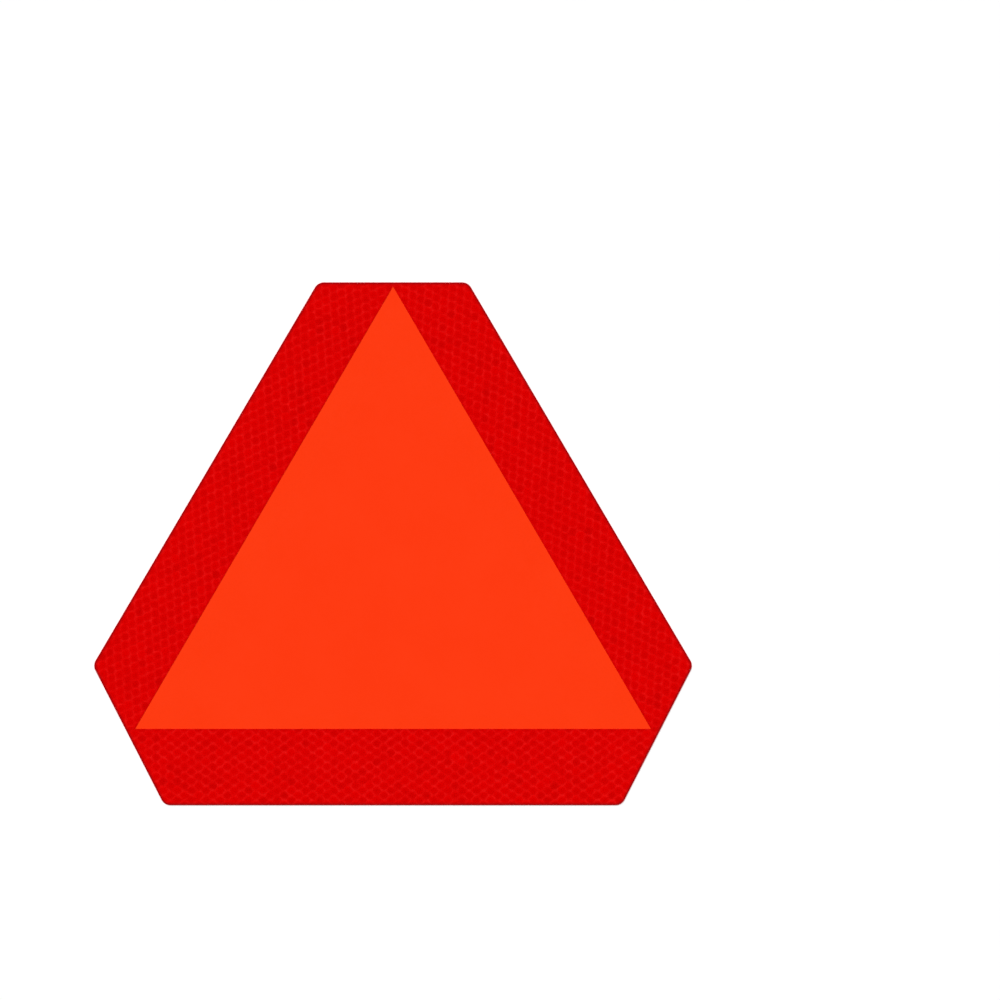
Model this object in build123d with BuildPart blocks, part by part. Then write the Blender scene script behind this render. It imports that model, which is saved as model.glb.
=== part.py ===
"""Self-adhesive slow moving vehicle emblem: a laminated sheet, 16 x 14 in.

An orange triangle is framed by three strips of red prismatic tape. All four lie
edge to edge on one white base film, whose adhesive back is covered by a release
liner. The sheet lies on its liner, face up: +Z is out of the face and +Y points
to the triangle's apex. The origin is the middle of the sheet's bounding
rectangle, on the underside of the liner. All lengths are in millimetres.
"""

from build123d import *
from math import hypot
import os

# Orange triangle
triangle_base = 350.5
triangle_height = 300.6

# Red tape around it
bottom_band = 52.0  # height of the bottom strip
apex_margin = 3.0  # red above the apex
base_corner_margin = 6.85  # red beside a base corner, along the base line
top_band = 45.6  # width of a side strip at the top edge, square to the triangle
shoulder_band = 46.75  # the same at the side corners
shoulder_rise = 43.2  # from the base line up to the side corners
corner_radius = 7.0

# Edge of the tape, pressed down where the sheet was die cut
pressed_width = 0.9
pressed_depth = 0.15

# Thicknesses
liner_thickness = 0.15
film_thickness = 0.20
tape_thickness = 0.40
triangle_thickness = 0.25

# Heights of the layers
film_base = liner_thickness
face_base = film_base + film_thickness

# Levels of the outline, from the top edge to the bottom edge
overall_height = apex_margin + triangle_height + bottom_band
top_y = overall_height / 2
apex_y = top_y - apex_margin
base_y = apex_y - triangle_height
shoulder_y = base_y + shoulder_rise
bottom_y = base_y - bottom_band


def half_width_at(level, band):
    """Half the sign's width at a level where the side strip is band wide."""
    side_length = hypot(triangle_base / 2, triangle_height)
    triangle_half = (apex_y - level) * (triangle_base / 2) / triangle_height
    return triangle_half + band * side_length / triangle_height


# Half widths at those levels. The lower side edges run from the side corners
# past the triangle's base corners to the bottom edge.
top_half = half_width_at(top_y, top_band)
shoulder_half = half_width_at(shoulder_y, shoulder_band)
base_half = triangle_base / 2 + base_corner_margin
lower_edge_slope = (shoulder_half - base_half) / shoulder_rise
bottom_half = base_half - lower_edge_slope * bottom_band

# A point this far out is beyond the sheet on every side
beyond = overall_height + shoulder_half

# The die-cut outline of the whole sheet
with BuildSketch() as outline:
    with BuildLine():
        Polyline(
            (-top_half, top_y),
            (top_half, top_y),
            (shoulder_half, shoulder_y),
            (bottom_half, bottom_y),
            (-bottom_half, bottom_y),
            (-shoulder_half, shoulder_y),
            close=True,
        )
    make_face()
    fillet(outline.vertices(), radius=corner_radius)

# The orange triangle's outline
with BuildSketch() as triangle_shape:
    with BuildLine():
        Polyline(
            (-triangle_base / 2, base_y),
            (triangle_base / 2, base_y),
            (0, apex_y),
            close=True,
        )
    make_face()

# The left strip's share of the sheet: beside the triangle, above its base line
# and as far as the seam over the apex
with BuildSketch() as left_share:
    add(outline.sketch)
    with BuildLine():
        Polyline(
            (0, beyond),
            (0, apex_y),
            (-triangle_base / 2, base_y),
            (-beyond, base_y),
            (-beyond, beyond),
            close=True,
        )
    make_face(mode=Mode.INTERSECT)

with BuildSketch() as right_share:
    mirror(left_share.sketch, about=Plane.YZ)

# The bottom strip's share of the sheet: all that lies below the base line
with BuildSketch() as bottom_share:
    add(outline.sketch)
    with BuildLine():
        Polyline(
            (-beyond, base_y),
            (beyond, base_y),
            (beyond, -beyond),
            (-beyond, -beyond),
            close=True,
        )
    make_face(mode=Mode.INTERSECT)


def on_outline(edge):
    """True for an edge that follows the sheet's outline, and not a seam."""
    middle = edge @ 0.5
    return outline.wire().distance_to(Vertex(middle.X, middle.Y, 0)) < 0.001


# Coated sheet that covers the adhesive
with BuildPart() as release_liner:
    with BuildSketch(Plane.XY):
        add(outline.sketch)
    extrude(amount=liner_thickness)
release_liner.part.label = "release_liner"

# Film that carries the coloured pieces, with its adhesive
with BuildPart() as base_film:
    with BuildSketch(Plane.XY.offset(film_base)):
        add(outline.sketch)
    extrude(amount=film_thickness)
base_film.part.label = "base_film"

# Fluorescent film, thinner than the tape around it
with BuildPart() as orange_triangle:
    with BuildSketch(Plane.XY.offset(face_base)):
        add(triangle_shape.sketch)
    extrude(amount=triangle_thickness)
orange_triangle.part.label = "orange_triangle"

# Prismatic tape, with a pressed bevel where it meets the outline
shares = {
    "left_strip": left_share,
    "right_strip": right_share,
    "bottom_strip": bottom_share,
}
strips = []
for name, share in shares.items():
    with BuildPart() as strip:
        with BuildSketch(Plane.XY.offset(face_base)):
            add(share.sketch)
        extrude(amount=tape_thickness)
        upper_face = strip.faces().sort_by(Axis.Z)[-1]
        chamfer(
            upper_face.edges().filter_by(on_outline),
            length=pressed_width,
            length2=pressed_depth,
            reference=upper_face,
        )
    strip.part.label = name
    strips.append(strip)

os.makedirs("parts", exist_ok=True)
for piece in (release_liner, base_film, orange_triangle, *strips):
    export_step(piece.part, f"parts/{piece.part.label}.step")
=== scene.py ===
"""Looks of a slow moving vehicle sign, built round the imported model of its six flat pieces.

The sign lies face up and the camera looks straight down on it. The three strips of
reflective tape get their honeycomb as real relief, and the release liner gets its
printed honeycomb as faces of their own. Flat shapes are worked out in millimetres, in
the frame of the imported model, and turned into metres where a mesh is made.
"""

import random
from math import atan2, ceil, cos, floor, hypot, pi, radians, sin

import bpy
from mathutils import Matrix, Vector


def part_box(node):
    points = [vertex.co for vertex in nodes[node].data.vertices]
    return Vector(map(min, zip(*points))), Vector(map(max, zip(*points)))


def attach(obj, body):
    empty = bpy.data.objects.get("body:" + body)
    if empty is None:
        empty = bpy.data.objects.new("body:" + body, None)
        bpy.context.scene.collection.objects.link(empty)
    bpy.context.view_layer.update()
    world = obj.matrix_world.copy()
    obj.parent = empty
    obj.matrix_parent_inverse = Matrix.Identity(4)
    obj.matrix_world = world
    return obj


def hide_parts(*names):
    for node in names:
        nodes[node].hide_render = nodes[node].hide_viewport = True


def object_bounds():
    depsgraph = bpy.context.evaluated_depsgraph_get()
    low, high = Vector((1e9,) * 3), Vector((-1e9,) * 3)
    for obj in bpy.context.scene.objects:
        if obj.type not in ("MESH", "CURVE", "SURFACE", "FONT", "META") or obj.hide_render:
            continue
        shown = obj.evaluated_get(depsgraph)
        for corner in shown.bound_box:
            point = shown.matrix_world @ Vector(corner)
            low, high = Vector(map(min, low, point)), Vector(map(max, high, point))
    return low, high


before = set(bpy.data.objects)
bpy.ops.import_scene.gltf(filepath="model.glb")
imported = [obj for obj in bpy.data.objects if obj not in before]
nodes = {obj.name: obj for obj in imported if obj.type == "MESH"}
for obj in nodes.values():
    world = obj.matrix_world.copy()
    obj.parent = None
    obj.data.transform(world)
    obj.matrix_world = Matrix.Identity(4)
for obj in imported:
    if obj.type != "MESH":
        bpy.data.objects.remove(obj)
cad_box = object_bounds()
mm = 0.001  # in metres

# The photograph's frame, and the place of the sign's bounding box in it, in pixels
photo_side = 1000
sign_width_px = 597.8
sign_centre_px = (393.0, 543.8)

# Camera: a long lens, as the photograph shows no perspective
lens_mm = 200.0
sensor_mm = 36.0

# When two places count as the same, in millimetres
same_height = 0.001
on_line = 0.01
corner_digits = 4  # decimals by which corners are told apart

# Honeycomb of the reflective tape: cells in columns that follow each other along the
# strip, every other column moved by half a pitch
column_pitch = 4.84
row_pitch = 6.45
cell_length = 7.35  # from point to point, along the strip
cell_corner_cut = 0.72  # what a cut corner takes of each side beside it
wide_seal = 0.47  # how much wider the seal is on the flat sides of a cell

# A cell from its border to its crown: inset from the border, how much of the pale seal
# shows there, and how far it lies under the crown
cell_steps = (
    (0.00, 1.00, 0.050),
    (0.08, 1.00, 0.048),
    (0.30, 0.71, 0.024),
    (1.65, 0.12, 0.004),
)

# How strongly the seals show, which differs a little between the strips
seal_strength = {"bottom_strip": 1.0, "left_strip": 0.93, "right_strip": 0.93}

# How pale the cells are, from 0 to 1: each cell's is drawn at random
seed = 11
cell_shade = (0.53, 0.13)  # mean and spread
dark_cells = 0.08  # share of cells that are clearly darker
dark_step = 0.3  # and how much darker they are
plain_shade = 0.5  # of the tape's walls and back

# The middle of one cell of each strip, from the middle of the sign's box
cell_places = {
    "bottom_strip": (-1.43, -154.77),
    "left_strip": (-107.51, 33.41),
    "right_strip": (107.42, 33.33),
}

# Rounding of the tape: the die pressed its outer edge down, and knives cut its seams
pressed_width = 0.9
pressed_depth = 0.15
seam_width = 0.06
seam_depth = 0.03
rounding_power = 3  # how fast a rounded edge levels out
edge_rings = ((0.25, 0.02), (0.55, 0.04), (0.90, 0.06))  # insets from (outline, seam)
flat_rim = (0.3, 1.5)  # the relief of the cells grows between these insets
crease_angle = 35.0  # where faces meet at more than this, the edge stays sharp

# Honeycomb printed on the back of the liner, with its points up and down
print_column_pitch = 13.7
print_row_pitch = 11.2
print_line = 1.2

# Colours as a picture shows them, from 0 to 255, each group from dark to pale
cell_reds = ((201, 0, 0), (212, 0, 0), (222, 0, 0))
glow_red = (228, 0, 0)  # where a seal is faint
line_red = (235, 27, 26)  # where a seal is strong
seam_shade_red = (196, 0, 0)  # painted shade along a seam between parts
pressed_and_shade_red = (122, 10, 14)  # in the pressed edge: darker from the pressing, and partly painted shade of the edge
rim_red = (245, 20, 22)  # at the very rim
oranges = ((254, 57, 15), (255, 59, 17))
film_whites = ((238, 238, 236), (243, 243, 241))
paper_whites = ((248, 248, 248), (253, 253, 253))
ink_greys = ((222, 222, 222), (228, 228, 228))

# How the tape's own red comes back from the darker red of its edge, partly painted edge shade,
# and from the painted shade beside a seam, and how that darker red follows the brighter red of the
# very rim: (distance, share)
rim_fade = ((0.0, 0.0), (0.42, 1.0))
pressed_and_shade_fade = ((0.0, 0.0), (0.42, 0.08), (1.0, 0.52), (1.7, 0.86), (2.6, 1.0))
seam_shade_fade = ((0.0, 0.75), (0.9, 0.75), (1.8, 1.0))

gloss = 0.4  # specular level of the sign's surfaces
rim_gloss = 0.03  # and of the tape's rim, which the die dulled
rim_roughness = 0.4

# Soft light: a pale world, darker overhead so that nothing shines into the camera, and
# three far lamps. At a light level of 1, white looks just white. Each lamp is (azimuth,
# elevation, share of the lamps' light), and each step of the world is (how far up it is,
# from 0 at the horizon to 1 overhead, strength).
light_level = 1.035
lamps = {
    "key": (-30.0, 48.0, 0.84),
    "left_fill": (-150.0, 48.0, 0.05),
    "right_fill": (90.0, 48.0, 0.11),
}
lamp_angle = 12.0
world_steps = ((0.0, 1.0), (0.05, 1.0), (0.12, 0.2), (0.88, 0.2), (0.95, 0.0))
floor_side = 60.0  # metres
floor_gap = 0.02
floor_glow = 0.5  # share of the floor's white that no shadow reaches


# Flat shapes. A polygon is a list of points, anticlockwise seen from above. A point is
# (x, y) with any further values behind them. A line is (nx, ny, offset), its normal
# turned towards the inside.


def footprint(node):
    """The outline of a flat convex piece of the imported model."""
    corners = [v.co for v in nodes[node].data.vertices]
    lowest = min(c.z for c in corners)
    level = [c for c in corners if c.z < lowest + same_height * mm]
    points = sorted({
        (round(c.x / mm, corner_digits), round(c.y / mm, corner_digits)) for c in level
    })
    middle_x = sum(x for x, y in points) / len(points)
    middle_y = sum(y for x, y in points) / len(points)
    return sorted(points, key=lambda p: atan2(p[1] - middle_y, p[0] - middle_x))


def sides(polygon):
    """Each side of a polygon as its two ends."""
    return zip(polygon, polygon[1:] + polygon[:1])


def line_through(start, end):
    """The line whose inside is to the left of the way from start to end."""
    length = hypot(end[0] - start[0], end[1] - start[1])
    nx = (start[1] - end[1]) / length
    ny = (end[0] - start[0]) / length
    return nx, ny, nx * start[0] + ny * start[1]


def lines_of(polygon):
    """The line along each side of a polygon."""
    return [line_through(*side) for side in sides(polygon)]


def depth(line, point):
    """How far inside a line a point lies."""
    return line[0] * point[0] + line[1] * point[1] - line[2]


def least_depth(lines, point):
    """How far inside the nearest of the lines a point lies."""
    return min(depth(line, point) for line in lines)


def crossing(line, other):
    """The point where two lines cross."""
    turn = line[0] * other[1] - line[1] * other[0]
    x = (line[2] * other[1] - line[1] * other[2]) / turn
    y = (line[0] * other[2] - line[2] * other[0]) / turn
    return x, y


def inset(polygon, distances):
    """The polygon with each side moved inwards by its own distance."""
    moved = [(nx, ny, offset + d) for (nx, ny, offset), d in zip(lines_of(polygon), distances)]
    return [crossing(moved[i - 1], moved[i]) for i in range(len(moved))]


def cut_corners(polygon, length):
    """Two points in place of each corner, that far along the sides beside it."""
    points = []
    for i, corner in enumerate(polygon):
        for beside in (polygon[i - 1], polygon[(i + 1) % len(polygon)]):
            share = length / hypot(beside[0] - corner[0], beside[1] - corner[1])
            points.append(between(corner, beside, share))
    return points


def between(start, end, share):
    """The point that share of the way from start to end, with all its values."""
    return tuple(a + (b - a) * share for a, b in zip(start, end))


def clipped(polygon, line):
    """The part of a convex polygon that lies inside a line."""
    kept = []
    for start, end in sides(polygon):
        here, there = depth(line, start), depth(line, end)
        if here >= 0:
            kept.append(start)
        if here * there < 0:
            # Worked out from the same end for both tiles that share the side
            if start > end:
                start, end, here, there = end, start, there, here
            kept.append(between(start, end, here / (here - there)))
    return kept


def edge_regions(outline, insets):
    """The lines of convex regions that fill an outline: bands along its sides, one
    inside the other, then the middle."""
    regions = []
    outer = outline
    for distances in insets:
        inner = inset(outline, distances)
        for i in range(len(outline)):
            j = (i + 1) % len(outline)
            regions.append([outer[i], outer[j], inner[j], inner[i]])
        outer = inner
    return [lines_of(region) for region in regions + [outer]]


class Surface:
    """A patterned face made of flat convex tiles that share their corners."""

    def __init__(self, regions):
        self.regions = regions
        self.points = []
        self.numbers = {}
        self.tiles = []
        self.tags = []

    def number(self, point):
        """The number of the corner at a point, the same for all tiles that meet there."""
        key = (round(point[0], corner_digits), round(point[1], corner_digits))
        if key not in self.numbers:
            self.numbers[key] = len(self.points)
            self.points.append(point)
        return self.numbers[key]

    def add(self, polygon, tag):
        """Cuts a tile to the regions and adds what is left of it, with its tag."""
        middle = self.regions[-1]
        if all(least_depth(middle, point) >= 0 for point in polygon):
            self.keep(polygon, tag)
            return
        for region in self.regions:
            piece = polygon
            for line in region:
                piece = clipped(piece, line)
                if len(piece) < 3:
                    break
            else:
                self.keep(piece, tag)

    def keep(self, polygon, tag):
        """Adds a tile as it is, unless it has no width."""
        corners = []
        for point in polygon:
            corner = self.number(point)
            if corner not in corners:
                corners.append(corner)
        if len(corners) > 2:
            self.tiles.append(corners)
            self.tags.append(tag)

    def border(self):
        """The corners along the surface's border, in order."""
        steps = {step for tile in self.tiles for step in sides(tile)}
        following = {a: b for a, b in steps if (b, a) not in steps}
        first = min(following)
        loop = [first]
        while following[loop[-1]] != first:
            loop.append(following[loop[-1]])
        return loop


def sheet_mesh(name, surface, heights, back, turn=0.0):
    """A closed mesh: the tiles at their heights, a flat back at another level, and walls between.

    The back lies under the tiles or over them. Tiles, walls and back each have a part of
    the map for baking, which is turned so that the piece lies along it.
    """
    border = surface.border()
    low = len(surface.points)
    vertices = [(p[0] * mm, p[1] * mm, z * mm) for p, z in zip(surface.points, heights)]
    vertices += [(surface.points[i][0] * mm, surface.points[i][1] * mm, back * mm) for i in border]
    walls = []
    for i, (a, b) in enumerate(sides(border)):
        walls.append((a, low + i, low + (i + 1) % len(border), b))
    faces = [*surface.tiles, *walls, [low + i for i in reversed(range(len(border)))]]
    if back > max(heights):
        faces = [tuple(reversed(face)) for face in faces]
    mesh = bpy.data.meshes.new(name)
    mesh.from_pydata(vertices, [], faces)
    add_bake_map(mesh, len(surface.tiles), len(walls), turn)
    mesh.shade_smooth()
    mesh.set_sharp_from_angle(angle=radians(crease_angle))
    piece = bpy.data.objects.new(name, mesh)
    bpy.context.scene.collection.objects.link(piece)
    return piece


def add_bake_map(mesh, tile_count, wall_count, turn):
    """Lays the tiles out over most of the map, with the back and the walls in bands below."""
    margin = 0.01
    tiles_band = (0.13, 0.99)
    back_band = (0.07, 0.11)
    walls_band = (0.02, 0.05)
    c, s = cos(turn), sin(turn)
    flat = [(v.co.x * c + v.co.y * s, v.co.y * c - v.co.x * s) for v in mesh.vertices]
    left, right = min(p[0] for p in flat), max(p[0] for p in flat)
    lower, upper = min(p[1] for p in flat), max(p[1] for p in flat)

    def place(point, band):
        along = (point[0] - left) / (right - left)
        across = (point[1] - lower) / (upper - lower)
        return margin + (1 - 2 * margin) * along, band[0] + (band[1] - band[0]) * across

    uvs = mesh.uv_layers.new(name="OFBake").uv
    for number, face in enumerate(mesh.polygons):
        is_wall = tile_count <= number < tile_count + wall_count
        for loop in face.loop_indices:
            corner = mesh.loops[loop].vertex_index
            if is_wall:
                start = (number - tile_count) / wall_count
                first = {mesh.loops[i].vertex_index for i in face.loop_indices[:2]}
                along = start + (0 if corner in first else 1 / wall_count)
                up = loop in (face.loop_indices[0], face.loop_indices[3])
                uvs[loop].vector = (margin + (1 - 2 * margin) * along, walls_band[up])
            else:
                band = tiles_band if number < tile_count else back_band
                uvs[loop].vector = place(flat[corner], band)


def add_values(mesh, name, domain, values):
    """Gives each point or face of a mesh a value that its material reads."""
    attribute = mesh.attributes.new(name, "FLOAT", domain)
    attribute.data.foreach_set("value", values)


# Honeycomb of the tape


def cell_tiles():
    """One cell about its middle, as tiles whose points are (x, y, seal, drop)."""
    flat = 2 * column_pitch - cell_length
    corners = [
        (cell_length / 2, 0),
        (flat / 2, row_pitch / 2),
        (-flat / 2, row_pitch / 2),
        (-cell_length / 2, 0),
        (-flat / 2, -row_pitch / 2),
        (flat / 2, -row_pitch / 2),
    ]
    first = cell_steps[1][0]
    flat_first = first + wide_seal
    first_insets = [first, flat_first, first, first, flat_first, first]
    rings = []
    for distance, seal, drop in cell_steps:
        ring = corners
        if distance > 0:
            ring = cut_corners(inset(corners, first_insets), cell_corner_cut)
            ring = inset(ring, [distance - first] * len(ring))
        rings.append([(x, y, seal, drop) for x, y in ring])
    border, seam = rings[0], rings[1]
    tiles = []
    for i in range(len(border)):
        j = (i + 1) % len(border)
        tiles.append([border[i], border[j], seam[2 * j], seam[2 * i + 1]])
        tiles.append([seam[2 * i], border[i], seam[2 * i + 1]])
    for outer, inner in zip(rings[1:], rings[2:]):
        for i in range(len(outer)):
            j = (i + 1) % len(outer)
            tiles.append([outer[i], outer[j], inner[j], inner[i]])
    crown = (0.0, 0.0, 0.0, 0.0)
    tiles += [[start, end, crown] for start, end in sides(rings[-1])]
    return tiles


def cells_over(outline, origin, turn):
    """The middles of all cells that can reach into an outline, for one at origin."""
    c, s = cos(turn), sin(turn)
    local = [((x - origin[0]) * c + (y - origin[1]) * s, (y - origin[1]) * c - (x - origin[0]) * s)
             for x, y in outline]
    columns = [x / column_pitch for x, y in local]
    rows = [y / row_pitch for x, y in local]
    for i in range(floor(min(columns)) - 1, ceil(max(columns)) + 2):
        for j in range(floor(min(rows)) - 1, ceil(max(rows)) + 2):
            x = i * column_pitch
            y = (j + (i % 2) / 2) * row_pitch
            yield origin[0] + x * c - y * s, origin[1] + x * s + y * c


def tape_surface(node, turn, outline, on_outline):
    """The face of a strip, cut into the tiles of its cells, each with its cell's shade."""
    insets = [[ring[0] if outer else ring[1] for outer in on_outline] for ring in edge_rings]
    surface = Surface(edge_regions(outline, insets))
    draw = random.Random(f"{seed} {node}")
    c, s = cos(turn), sin(turn)
    template = cell_tiles()
    strength = seal_strength[node]
    reach = hypot(cell_length, row_pitch) / 2
    outline_lines = lines_of(outline)
    for centre in cells_over(outline, cell_places[node], turn):
        shade = draw.gauss(*cell_shade)
        if draw.random() < dark_cells:
            shade -= dark_step
        if least_depth(outline_lines, centre) < -reach:
            continue
        for tile in template:
            placed = [
                (centre[0] + x * c - y * s, centre[1] + x * s + y * c, seal * strength, drop)
                for x, y, seal, drop in tile
            ]
            surface.add(placed, min(max(shade, 0), 1))
    return surface


def smooth(value, low, high):
    """0 below low, 1 above high and a smooth rise between."""
    share = min(max((value - low) / (high - low), 0), 1)
    return share * share * (3 - 2 * share)


def rounding(distance, width, drop):
    """How far a rounded edge lies under the face, at a distance from the edge."""
    return drop * max(0, 1 - distance / width) ** rounding_power


def tape_strip(node, turn, sign_lines, material):
    """One strip of tape with its honeycomb, in place of its plain solid."""
    outline = footprint(node)
    on_outline = []
    for start, end in sides(outline):
        on_outline.append(least_depth(sign_lines, between(start, end, 0.5)) < on_line)
    seam_lines = [line for line, outer in zip(lines_of(outline), on_outline) if not outer]
    surface = tape_surface(node, turn, outline, on_outline)

    low, high = (corner.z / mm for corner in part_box(node))
    from_edge = [least_depth(sign_lines, p) for p in surface.points]
    from_seam = [least_depth(seam_lines, p) for p in surface.points]
    heights = []
    for point, edge, seam in zip(surface.points, from_edge, from_seam):
        drop = point[3] * smooth(edge, *flat_rim)
        drop += rounding(edge, pressed_width, pressed_depth)
        drop += rounding(seam, seam_width, seam_depth)
        heights.append(high - drop)
    piece = sheet_mesh(node + "_tape", surface, heights, low, turn)
    border = surface.border()
    on_back = [0.0] * len(border)
    add_values(piece.data, "seal", "POINT", [p[2] for p in surface.points] + on_back)
    add_values(piece.data, "edge", "POINT", from_edge + [from_edge[i] for i in border])
    add_values(piece.data, "seam", "POINT", from_seam + [from_seam[i] for i in border])
    walls_and_back = [plain_shade] * (len(border) + 1)
    add_values(piece.data, "shade", "FACE", surface.tags + walls_and_back)
    piece.data.materials.append(material)
    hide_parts(node)
    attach(piece, "root")
    return piece


# Liner with its print


def printed_liner(paper, ink):
    """The release liner, its honeycomb of grey lines on the underside."""
    outline = footprint("release_liner")
    surface = Surface([lines_of(outline)])
    half = print_column_pitch / 2
    point_rise = half / 3 ** 0.5
    top = (print_row_pitch + point_rise) / 2
    shoulder = top - point_rise
    corners = [
        (half, -shoulder),
        (half, shoulder),
        (0, top),
        (-half, shoulder),
        (-half, -shoulder),
        (0, -top),
    ]
    inner = inset(corners, [print_line / 2] * len(corners))
    columns = ceil(max(x for x, y in outline) / print_column_pitch) + 1
    rows = ceil(max(y for x, y in outline) / print_row_pitch) + 1
    plain, printed = 0, 1  # the numbers of the two materials
    for j in range(-rows, rows + 1):
        for i in range(-columns, columns + 1):
            x0 = (i + (j % 2) / 2) * print_column_pitch
            y0 = j * print_row_pitch
            surface.add([(x0 + x, y0 + y) for x, y in inner], plain)
            for (start, end), (start_inner, end_inner) in zip(sides(corners), sides(inner)):
                quad = [start, end, end_inner, start_inner]
                surface.add([(x0 + x, y0 + y) for x, y in quad], printed)
    low, high = (corner.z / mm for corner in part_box("release_liner"))
    piece = sheet_mesh("printed_liner", surface, [low] * len(surface.points), high)
    piece.data.materials.append(paper)
    piece.data.materials.append(ink)
    walls_and_back = [plain] * (len(surface.border()) + 1)
    piece.data.polygons.foreach_set("material_index", surface.tags + walls_and_back)
    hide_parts("release_liner")
    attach(piece, "root")
    return piece


# Materials


def srgb(colour):
    """A colour as a picture shows it, from 0 to 255, in the linear values that shaders take."""
    linear = []
    for value in colour:
        v = value / 255
        linear.append(v / 12.92 if v <= 0.04045 else ((v + 0.055) / 1.055) ** 2.4)
    return *linear, 1.0


def grey(value):
    """A linear value as a colour."""
    return value, value, value, 1.0


def put(tree, kind, sockets=None, **settings):
    """A new node with its settings, and its sockets set or linked."""
    made = tree.nodes.new("ShaderNode" + kind)
    for name, value in settings.items():
        setattr(made, name, value)
    for name, value in (sockets or {}).items():
        if isinstance(value, bpy.types.NodeSocket):
            tree.links.new(value, made.inputs[name])
        else:
            made.inputs[name].default_value = value
    return made


def mixed(tree, factor, first, second, blend="MIX"):
    """The colour between two colours."""
    sockets = {0: factor, 6: first, 7: second}
    return put(tree, "Mix", sockets, data_type="RGBA", blend_type=blend).outputs[2]


def combined(tree, operation, first, second):
    """The value worked out from two values."""
    return put(tree, "Math", {0: first, 1: second}, operation=operation).outputs[0]


def spread(tree, value, low, high, start=0.0, end=1.0):
    """A value from start to end spread between low and high."""
    sockets = {"Value": value, "From Min": start, "From Max": end, "To Min": low, "To Max": high}
    return put(tree, "MapRange", sockets).outputs["Result"]


def ramp(tree, factor, stops):
    """A colour read from stops of (place, colour)."""
    made = put(tree, "ValToRGB", {"Fac": factor})
    elements = made.color_ramp.elements
    while len(elements) < len(stops):
        elements.new(1.0)
    for element, (place, colour) in zip(elements, stops):
        element.position = place
        element.color = colour
    return made.outputs["Color"]


def tones(tree, factor, places, colours):
    """A colour read from picture colours, each reached at its own place of the factor."""
    return ramp(tree, factor, [(place, srgb(colour)) for place, colour in zip(places, colours)])


def faded(tree, distance, steps):
    """How much of the face's own colour shows at a distance from an edge."""
    furthest = steps[-1][0]
    reach = spread(tree, distance, 0.0, 1.0, end=furthest)
    return ramp(tree, reach, [(d / furthest, grey(share)) for d, share in steps])


def noise(tree, size, detail=2.0, roughness=0.5):
    """Soft noise whose lumps are about that many millimetres across."""
    where = put(tree, "TexCoord").outputs["Object"]
    sockets = {"Vector": where, "Scale": 1 / (size * mm), "Detail": detail, "Roughness": roughness}
    return put(tree, "TexNoise", sockets).outputs["Fac"]


def grains(tree, size):
    """Distance to the middle of the nearest grain. A grain is about size millimetres across."""
    where = put(tree, "TexCoord").outputs["Object"]
    return put(tree, "TexVoronoi", {"Vector": where, "Scale": 1 / (size * mm)}).outputs["Distance"]


def blank_material(name, roughness):
    """A new material, its node tree and its shader, evenly rough and glossy to start from."""
    material = bpy.data.materials.new(name)
    material.use_nodes = True
    tree = material.node_tree
    shader = tree.nodes["Principled BSDF"]
    shader.inputs["Roughness"].default_value = roughness
    shader.inputs["Specular IOR Level"].default_value = gloss
    return material, tree, shader


def finish_surface(tree, shader, colour, roughness, bumps):
    """Links colour, roughness and one bump for each (height, distance in millimetres)."""
    tree.links.new(colour, shader.inputs["Base Color"])
    tree.links.new(roughness, shader.inputs["Roughness"])
    normal = None
    for height, distance in bumps:
        sockets = {"Height": height, "Distance": distance * mm, "Strength": 1.0}
        if normal is not None:
            sockets["Normal"] = normal
        normal = put(tree, "Bump", sockets).outputs["Normal"]
    tree.links.new(normal, shader.inputs["Normal"])


def red_tape():
    """Red cells under a clear face, paler seals, painted shade at the seams, and a dull pressed
    edge darkened partly with painted shade.
    """
    material, tree, shader = blank_material("red_tape", roughness=0.12)
    seal, edge, seam, shade = (
        put(tree, "Attribute", attribute_name=name).outputs["Fac"]
        for name in ("seal", "edge", "seam", "shade")
    )
    cell = tones(tree, shade, (0.0, 0.5, 1.0), cell_reds)
    lumps = noise(tree, size=3.0, detail=1.0)
    patches = spread(tree, lumps, low=0.22, high=0.77, start=0.25, end=0.75)
    glow = combined(tree, "MULTIPLY", seal, patches)
    line = combined(tree, "MULTIPLY", glow, glow)
    face = mixed(tree, line, mixed(tree, glow, cell, srgb(glow_red)), srgb(line_red))
    cloud = spread(tree, noise(tree, size=28.0, detail=1.0), low=0.98, high=1.02)
    face = mixed(tree, 1.0, face, cloud, "MULTIPLY")
    # Painted shade: darker red along the seams
    face = mixed(tree, faded(tree, seam, seam_shade_fade), srgb(seam_shade_red), face)
    # The pressed edge: darker red, partly from the pressing and partly painted shade of the edge,
    # brighter at the very rim
    pressed_and_shade = mixed(tree, faded(tree, edge, rim_fade), srgb(rim_red), srgb(pressed_and_shade_red))
    colour = mixed(tree, faded(tree, edge, pressed_and_shade_fade), pressed_and_shade, face)

    dull = spread(tree, edge, low=rim_roughness, high=0.0, end=pressed_width)
    polish = spread(tree, noise(tree, size=6.0), low=0.09, high=0.14)
    roughness = combined(tree, "MAXIMUM", dull, polish)
    clear = spread(tree, edge, low=rim_gloss, high=gloss, end=pressed_width)
    tree.links.new(clear, shader.inputs["Specular IOR Level"])

    prisms, prism_height = grains(tree, size=0.3), 0.0008
    waves, wave_height = noise(tree, size=18.0), 0.02
    bumps = ((prisms, prism_height), (waves, wave_height))
    finish_surface(tree, shader, colour, roughness, bumps)
    return material


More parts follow.
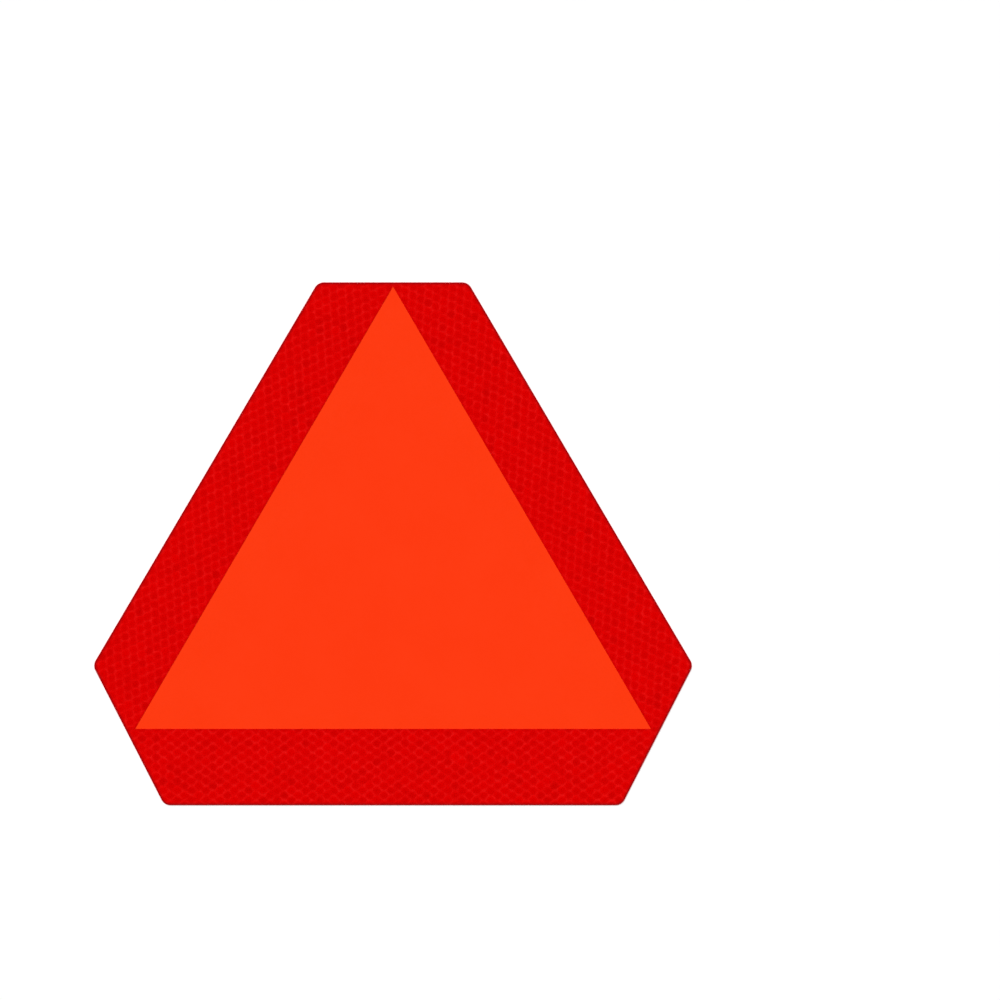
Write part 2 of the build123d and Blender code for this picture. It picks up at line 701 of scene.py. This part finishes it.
def orange_film():
    """Fluorescent film, even, with the faint ripple of a laminated sheet."""
    material, tree, shader = blank_material("orange_film", roughness=0.2)
    cloud = noise(tree, size=40.0, detail=3.0)
    colour = tones(tree, cloud, (0.3, 0.7), oranges)
    roughness = spread(tree, noise(tree, size=5.0, detail=4.0), low=0.16, high=0.24)
    ripple, ripple_height = noise(tree, size=0.8, detail=3.0), 0.003
    waves, wave_height = noise(tree, size=25.0), 0.03
    bumps = ((ripple, ripple_height), (waves, wave_height))
    finish_surface(tree, shader, colour, roughness, bumps)
    return material


def white_film():
    """The carrier film, seen only at its cut edge."""
    material, tree, shader = blank_material("white_film", roughness=0.3)
    colour = tones(tree, noise(tree, size=9.0), (0.3, 0.7), film_whites)
    roughness = spread(tree, noise(tree, size=3.0), low=0.26, high=0.36)
    ripple, ripple_height = noise(tree, size=0.6), 0.003
    finish_surface(tree, shader, colour, roughness, ((ripple, ripple_height),))
    return material


def coated_paper(name, colours):
    """Liner paper under its slippery coat, or the ink printed on it."""
    material, tree, shader = blank_material(name, roughness=0.32)
    fibres, fibre_height = noise(tree, size=0.9, detail=6.0, roughness=0.65), 0.004
    colour = tones(tree, fibres, (0.35, 0.65), colours)
    roughness = spread(tree, noise(tree, size=4.0), low=0.27, high=0.38)
    finish_surface(tree, shader, colour, roughness, ((fibres, fibre_height),))
    return material


# Surroundings


def floor_white():
    """White that takes the sign's shadow, partly lit by itself where it is seen."""
    material = bpy.data.materials.new("floor")
    material.use_nodes = True
    tree = material.node_tree
    white = grey(1.0)
    matt = put(tree, "BsdfDiffuse", {"Color": white}).outputs[0]
    glow = put(tree, "Emission", {"Color": white, "Strength": 1.0}).outputs[0]
    path = put(tree, "LightPath").outputs
    seen = path["Is Camera Ray"]
    for ray in ("Is Glossy Ray", "Is Transmission Ray"):
        seen = combined(tree, "MAXIMUM", seen, path[ray])
    share = combined(tree, "MULTIPLY", seen, floor_glow)
    both = put(tree, "MixShader", {0: share, 1: matt, 2: glow}).outputs[0]
    tree.links.new(both, tree.nodes["Material Output"].inputs["Surface"])
    return material


def add_floor():
    """A plain pale floor, just under the sign."""
    half = floor_side / 2
    mesh = bpy.data.meshes.new("floor")
    z = -floor_gap * mm
    corners = [(-half, -half, z), (half, -half, z), (half, half, z), (-half, half, z)]
    mesh.from_pydata(corners, [], [(0, 1, 2, 3)])
    mesh.materials.append(floor_white())
    plane = bpy.data.objects.new("floor", mesh)
    bpy.context.scene.collection.objects.link(plane)


def world_share():
    """What the world adds to a white sheet that faces up, where 1 shows it as white.

    Each of many thin rings of the world counts by its width and by its height z.
    """
    total = 0.0
    rings = 50  # for each step
    for (z0, v0), (z1, v1) in zip(world_steps, world_steps[1:] + ((1.0, 0.0),)):
        for k in range(rings):
            z = z0 + (z1 - z0) * (k + 0.5) / rings
            value = v0 + (v1 - v0) * (k + 0.5) / rings
            total += 2 * value * z * (z1 - z0) / rings
    return total


def add_world():
    """Light from all round, brightest at the horizon and dark overhead."""
    world = bpy.data.worlds.new("studio")
    bpy.context.scene.world = world
    world.use_nodes = True
    tree = world.node_tree
    direction = put(tree, "TexCoord").outputs["Generated"]
    up = put(tree, "SeparateXYZ", {"Vector": direction}).outputs["Z"]
    light = ramp(tree, up, [(z, grey(value)) for z, value in world_steps])
    tree.links.new(light, tree.nodes["Background"].inputs["Color"])


def add_lamps():
    """Far soft lamps that share out the light the world doesn't give."""
    shares = sum(share for azimuth, elevation, share in lamps.values())
    for name, (azimuth, elevation, share) in lamps.items():
        part = (light_level - world_share()) * share / shares
        lamp = bpy.data.lights.new(name, "SUN")
        lamp.angle = radians(lamp_angle)
        lamp.energy = part * pi / sin(radians(elevation))
        holder = bpy.data.objects.new(name, lamp)
        holder.rotation_euler = (radians(90 - elevation), 0, radians(180 - azimuth))
        bpy.context.scene.collection.objects.link(holder)


def add_camera():
    """Looks straight down, with the sign where the photograph has it."""
    low, high = cad_box
    metres_a_pixel = (high.x - low.x) / sign_width_px
    data = bpy.data.cameras.new("camera")
    data.lens = lens_mm
    data.sensor_width = sensor_mm
    camera = bpy.data.objects.new("camera", data)
    distance = photo_side * metres_a_pixel * lens_mm / sensor_mm
    middle = (low + high) / 2
    camera.location = (
        middle.x + (photo_side / 2 - sign_centre_px[0]) * metres_a_pixel,
        middle.y - (photo_side / 2 - sign_centre_px[1]) * metres_a_pixel,
        high.z + distance,
    )
    bpy.context.scene.collection.objects.link(camera)
    bpy.context.scene.camera = camera


def build_sign():
    """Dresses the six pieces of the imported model."""
    sign_lines = lines_of(footprint("release_liner"))
    low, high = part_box("orange_triangle")
    side_turn = atan2(high.y - low.y, (high.x - low.x) / 2)
    turns = {"bottom_strip": 0.0, "left_strip": side_turn, "right_strip": -side_turn}
    tape = red_tape()
    for node, turn in turns.items():
        tape_strip(node, turn, sign_lines, tape)
    printed_liner(coated_paper("liner_paper", paper_whites), coated_paper("liner_ink", ink_greys))
    for node, material in (("orange_triangle", orange_film()), ("base_film", white_film())):
        nodes[node].data.materials.clear()
        nodes[node].data.materials.append(material)


build_sign()
add_floor()
add_world()
add_lamps()
add_camera()
bpy.context.scene.view_settings.view_transform = "Standard"
